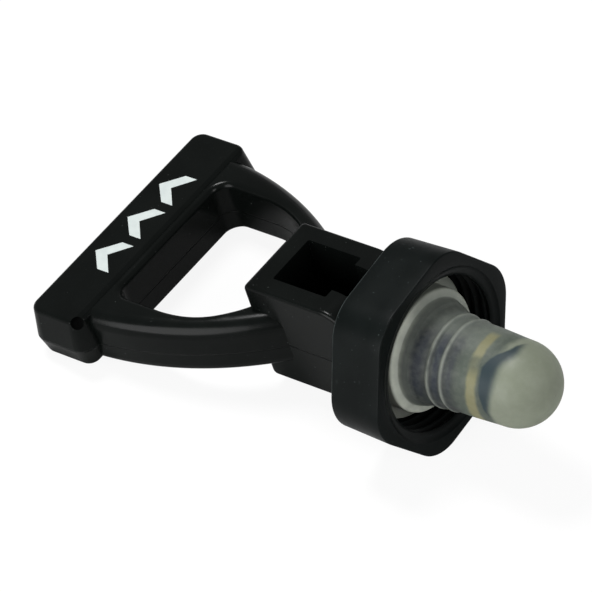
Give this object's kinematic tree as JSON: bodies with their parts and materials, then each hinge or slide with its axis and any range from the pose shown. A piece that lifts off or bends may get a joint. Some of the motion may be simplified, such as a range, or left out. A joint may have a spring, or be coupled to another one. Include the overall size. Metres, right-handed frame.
{
  "type": "self-closing tap head",
  "caption": "D-shaped lever handle that rocks on a hexagonal bonnet nut and pulls a sprung stem, which lifts a rounded silicone seat cup off the seat of a hot-drinks tap.",
  "frame": {"origin": "centre of the bonnet nut's mouth face, on the stem's axis", "axes": "+X along the stem from the handle towards the silicone tip; +Y across the handle; +Z out of the handle's upper face"},
  "size_m": [0.0973, 0.051, 0.0354],
  "materials": {
    "handle_plastic": "moulded, semi-gloss",
    "nut_plastic": "moulded, satin, lightly scuffed",
    "silicone": "translucent, satin",
    "washer_plastic": "smooth, white",
    "spring_steel": "drawn wire",
    "steel": "turned stainless"
  },
  "bodies": {
    "bonnet": {"bonnet_nut": "nut_plastic"},
    "seat": {"silicone_seat_cup": "silicone", "slip_washer": "washer_plastic", "return_spring": "spring_steel"},
    "valve": {"stem": "steel", "cross_pin": "steel", "spring_seat_washer": "steel"},
    "handle": {"handle_upper_shell": "handle_plastic", "handle_lower_shell": "handle_plastic"}
  },
  "joints": [
    {"name": "nut_swivel", "type": "hinge", "parent": "bonnet", "child": "seat", "pos_m": [0, 0, 0], "axis": [1, 0, 0], "continuous": true},
    {"name": "valve_lift", "type": "slide", "parent": "seat", "child": "valve", "axis": [-1, 0, 0], "range_m": [0, 0.0022], "deforming": ["return_spring", "silicone_seat_cup"]},
    {"name": "handle_tilt", "type": "hinge", "parent": "valve", "child": "handle", "pos_m": [-0.0183, 0, 0], "axis": [0, 1, 0], "range_deg": [0, 30], "stiffness_Nm_per_rad": 0.0096, "springref_deg": -114.59}
  ],
  "couplings": [
    {"joint": "valve_lift", "follows": "handle_tilt", "m_per_rad": 0.004}
  ]
}
